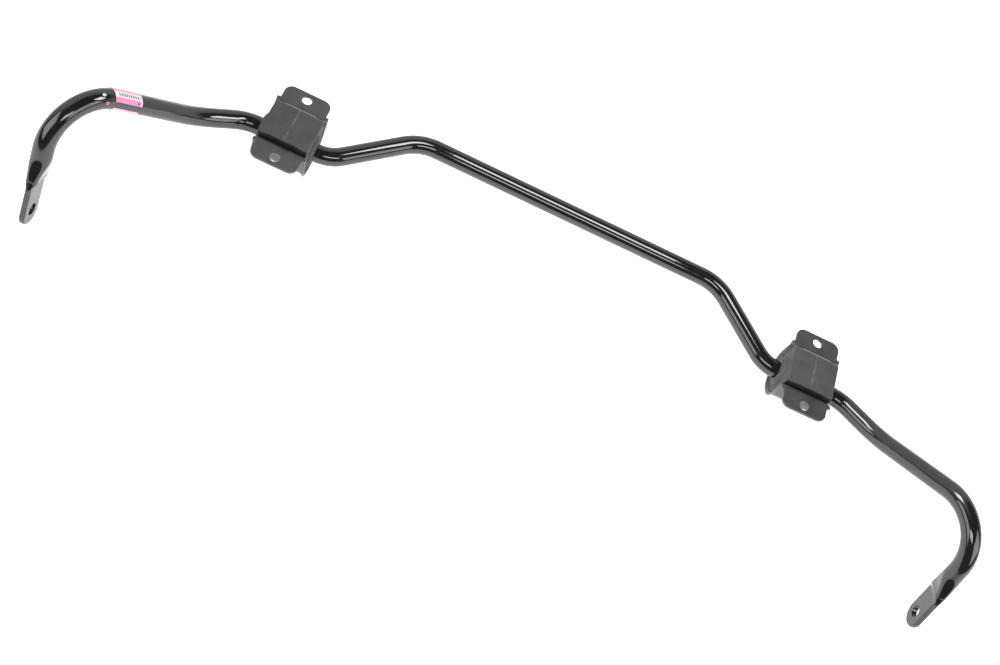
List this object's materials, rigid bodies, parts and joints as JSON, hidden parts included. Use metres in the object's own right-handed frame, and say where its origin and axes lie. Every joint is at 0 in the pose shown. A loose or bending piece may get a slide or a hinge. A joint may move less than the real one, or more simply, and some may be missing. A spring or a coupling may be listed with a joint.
{
  "type": "sway bar",
  "caption": "Cranked anti-roll bar of bent round tube with flattened, drilled ends, carried in split rubber bushings that stamped steel straps bolt to the vehicle frame.",
  "frame": {"origin": "centre of the four bracket bolt holes, on the brackets' seat plane", "axes": "+X along the bar, +Z out of the bracket seats towards the vehicle frame, +Y to the side that the cranked middle leans to"},
  "size_m": [0.9866, 0.2843, 0.1224],
  "materials": {
    "bar_coat": "gloss black enamel",
    "bracket_steel": "satin dark grey coat",
    "bushing_rubber": "matte, mottled grey",
    "liner": "smooth low-friction sleeve",
    "label_paper": "coated paper",
    "white_paint": "paint dab",
    "pink_paint": "paint dab"
  },
  "bodies": {
    "bar": {"sway_bar": "bar_coat", "stock_label": "label_paper", "white_paint_dab": "white_paint", "pink_paint_dab": "pink_paint"},
    "left_mount": {"left_bracket": "bracket_steel", "left_bushing": "bushing_rubber", "left_bushing_liner": "liner"},
    "right_mount": {"right_bracket": "bracket_steel", "right_bushing": "bushing_rubber", "right_bushing_liner": "liner"}
  },
  "joints": [
    {"name": "left_bushing_turn", "type": "hinge", "parent": "bar", "child": "left_mount", "pos_m": [-0.3035, 0, -0.02], "axis": [1, 0, 0], "range_deg": [-28, 28]},
    {"name": "right_bushing_turn", "type": "hinge", "parent": "bar", "child": "right_mount", "pos_m": [0.3035, 0, -0.02], "axis": [1, 0, 0], "range_deg": [-28, 28]}
  ]
}
